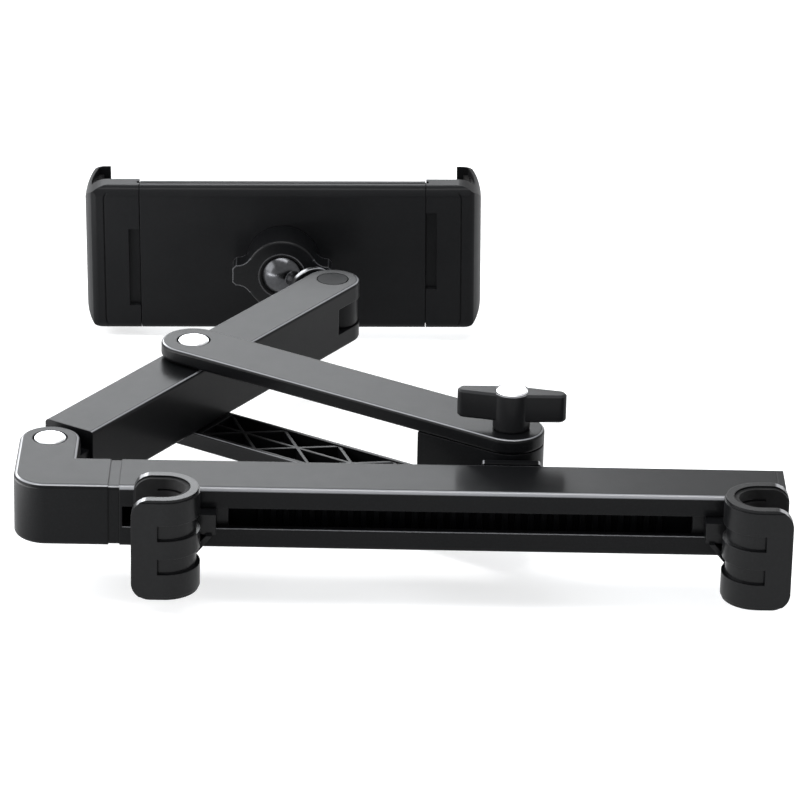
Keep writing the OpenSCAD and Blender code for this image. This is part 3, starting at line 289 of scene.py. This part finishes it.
def plastic(name, tones, rough, grain, depth, spec, coat=0.12, rim="top", rounding=0.00045):
    """Moulded black plastic: clouded colour, fine grain, sharp edges lightened as wear and as a faint
    painted sheen, and a thin gloss skin.

    rim says which edges get a painted highlight, a light colour in place of reflected light: rounded top
    ones, those and all front top ones, all, or none.
    """
    m = Mat(name)
    normal, edge = m.edges(rounding)
    colour = m.mix(m.ramp(m.noise(CLOUDS, 4.0), 0.0, 1.0), *tones)
    colour = m.mix(m.ramp(m.noise(grain * 0.5, 2.0), 0.0, 0.14, 0.45, 0.75), colour, WORN_AND_SHEEN)
    wear_and_sheen = m.ramp(m.noise(EDGE_WEAR_AND_SHEEN, 5.0), 0.0, 0.55, 0.42, 0.7)
    # Sharp edges lighten where noise breaks through: wear, and also a faint painted sheen.
    colour = m.mix(m.times(edge, wear_and_sheen), colour, WORN_AND_SHEEN)
    # Chosen edges get a painted highlight, a light colour in place of reflected light, and a fuller gloss
    # coat.
    if rim != "none":
        if rim == "top":
            highlight_mask = m.upper_highlight()
        elif rim == "front":
            highlight_mask = m.front_highlight(normal)
        else:
            highlight_mask = m.ramp(edge, 0.0, 0.7, 0.1, 0.9)
        colour = m.mix(highlight_mask, colour, PAINTED_EDGE_HIGHLIGHT)
        coat = m.ramp(highlight_mask, coat, 1.0, 0.0, 1.0)
    gloss = m.ramp(m.noise(GLOSS_SPOTS, 4.0), rough - 0.012, rough + 0.014)
    relief = m.bump(m.noise(grain, 3.0, rough=0.6), depth, 0.5, normal)
    m.give(Base_Color=colour, Roughness=gloss, Specular_IOR_Level=spec, Coat_Weight=coat,
           Coat_Roughness=0.18, Normal=relief)
    return m.mat


def rubber(name, tones, rough):
    """Matte rubber with a fine powdery grain."""
    m = Mat(name)
    normal = m.edges(0.0003)[0]
    colour = m.mix(m.ramp(m.noise(300.0, 4.0), 0.0, 1.0), *tones)
    gloss = m.ramp(m.noise(900.0, 2.0), rough - 0.06, rough + 0.06)
    relief = m.bump(m.noise(5200.0, 2.0), 0.00002, 0.7, normal)
    m.give(Base_Color=colour, Roughness=gloss, Specular_IOR_Level=0.15, Sheen_Weight=0.03, Normal=relief)
    return m.mat


def metal(name, tones, rough, stretch, depth):
    """Metal with lines that the stretched noise draws."""
    m = Mat(name)
    normal = m.edges(0.0003)[0]
    lines = m.noise(1.0, 4.0, stretch, 0.65)
    colour = m.mix(m.ramp(lines, 0.0, 1.0), *tones)
    gloss = m.ramp(m.noise(60.0, 3.0), rough - 0.05, rough + 0.06)
    relief = m.bump(lines, depth, 0.6, normal)
    m.give(Base_Color=colour, Metallic=1.0, Roughness=gloss, Normal=relief)
    return m.mat


BODY = ("corner_block", "arm_beam", "strut_top_plate", "strut_end_block", "slider_shoe", "tip_knuckle")
RAIL = ("rail_beam", "rail_end_cap")
HOLDER = ("holder_back_shell", "holder_front_cover", "left_jaw", "right_jaw")
HOOKS = ("left_hook", "right_hook")
TRAY = ("strut_tray", "arm_bottom_cover", "left_carriage", "right_carriage")
SOFT = ("left_hook_liner", "right_hook_liner", "holder_front_pad", "left_jaw_pad", "right_jaw_pad")
INNER = ("base_washers", "ball_seat_ring", "ball_seat_cup", "pinion")
CAPS = ("base_pivot_cap", "mid_pivot_cap", "knob_cap")
MATTE = ("tip_pivot_cap", "detent_strip")
SPRINGS = ("left_detent_spring", "right_detent_spring", "pinion_spring")


def dress():
    """One material for each group of nodes; screws, pins and the bush take the zinc steel."""
    body = plastic("satin_black_plastic", DEEP_BLACK, 0.42, 3600.0, 0.000006, 0.05, coat=0.11)
    # The rail also gets a painted highlight along all its front top edges.
    rail = plastic("rail_black_plastic", DEEP_BLACK, 0.42, 3600.0, 0.000006, 0.05, coat=0.11, rim="front")
    holder = plastic("holder_black_plastic", HOLDER_BLACK, 0.42, 3300.0, 0.000006, 0.03, coat=0.06,
                     rim="none")
    grip = plastic("moulded_black_plastic", GRIP_BLACK, 0.45, 2600.0, 0.000008, 0.04, coat=0.12)
    # The nut gets a painted highlight along all its edges.
    nut = plastic("nut_black_plastic", DEEP_BLACK, 0.40, 2600.0, 0.000008, 0.05, coat=0.20, rim="all",
                  rounding=0.0007)
    hook = plastic("hook_black_plastic", DEEP_BLACK, 0.43, 2600.0, 0.000008, 0.05, coat=0.26)
    tray = plastic("ribbed_black_plastic", TRAY_BLACK, 0.45, 3000.0, 0.000007, 0.08)
    inner = plastic("bearing_plastic", BEARING_BLACK, 0.35, 2800.0, 0.00001, 0.35, rim="none",
                    rounding=0.0002)
    matte = plastic("matte_black_plastic", DEEP_BLACK, 0.42, 4200.0, 0.00001, 0.03, coat=0.02,
                    rim="none", rounding=0.0002)
    soft = rubber("grey_black_rubber", RUBBER_BLACK, 0.70)
    brushed = metal("brushed_aluminium", ALUMINIUM, 0.36, (300.0, 9000.0, 300.0), 0.000012)
    steel = metal("zinc_steel", ZINC, 0.34, (2500.0, 2500.0, 600.0), 0.00001)
    spring = metal("spring_steel", SPRING_STEEL, 0.28, (600.0, 600.0, 5000.0), 0.000008)
    ball = metal("polished_dark_ball", DARK_STEEL, 0.22, (900.0, 900.0, 900.0), 0.000004)
    groups = (
        (BODY, body),
        (RAIL, rail),
        (HOLDER, holder),
        (HOOKS, hook),
        (("wing_knob",), grip),
        (("ball_nut",), nut),
        (TRAY, tray),
        (SOFT, soft),
        (INNER, inner),
        (CAPS, brushed),
        (MATTE, matte),
        (SPRINGS, spring),
        (("ball_stud",), ball),
    )
    looks = {name: mat for names, mat in groups for name in names}
    for name, obj in nodes.items():
        obj.data.materials.clear()
        obj.data.materials.append(looks.get(name, steel))


setup_view()
setup_world()
setup_floor()
setup_lamps()
dress()
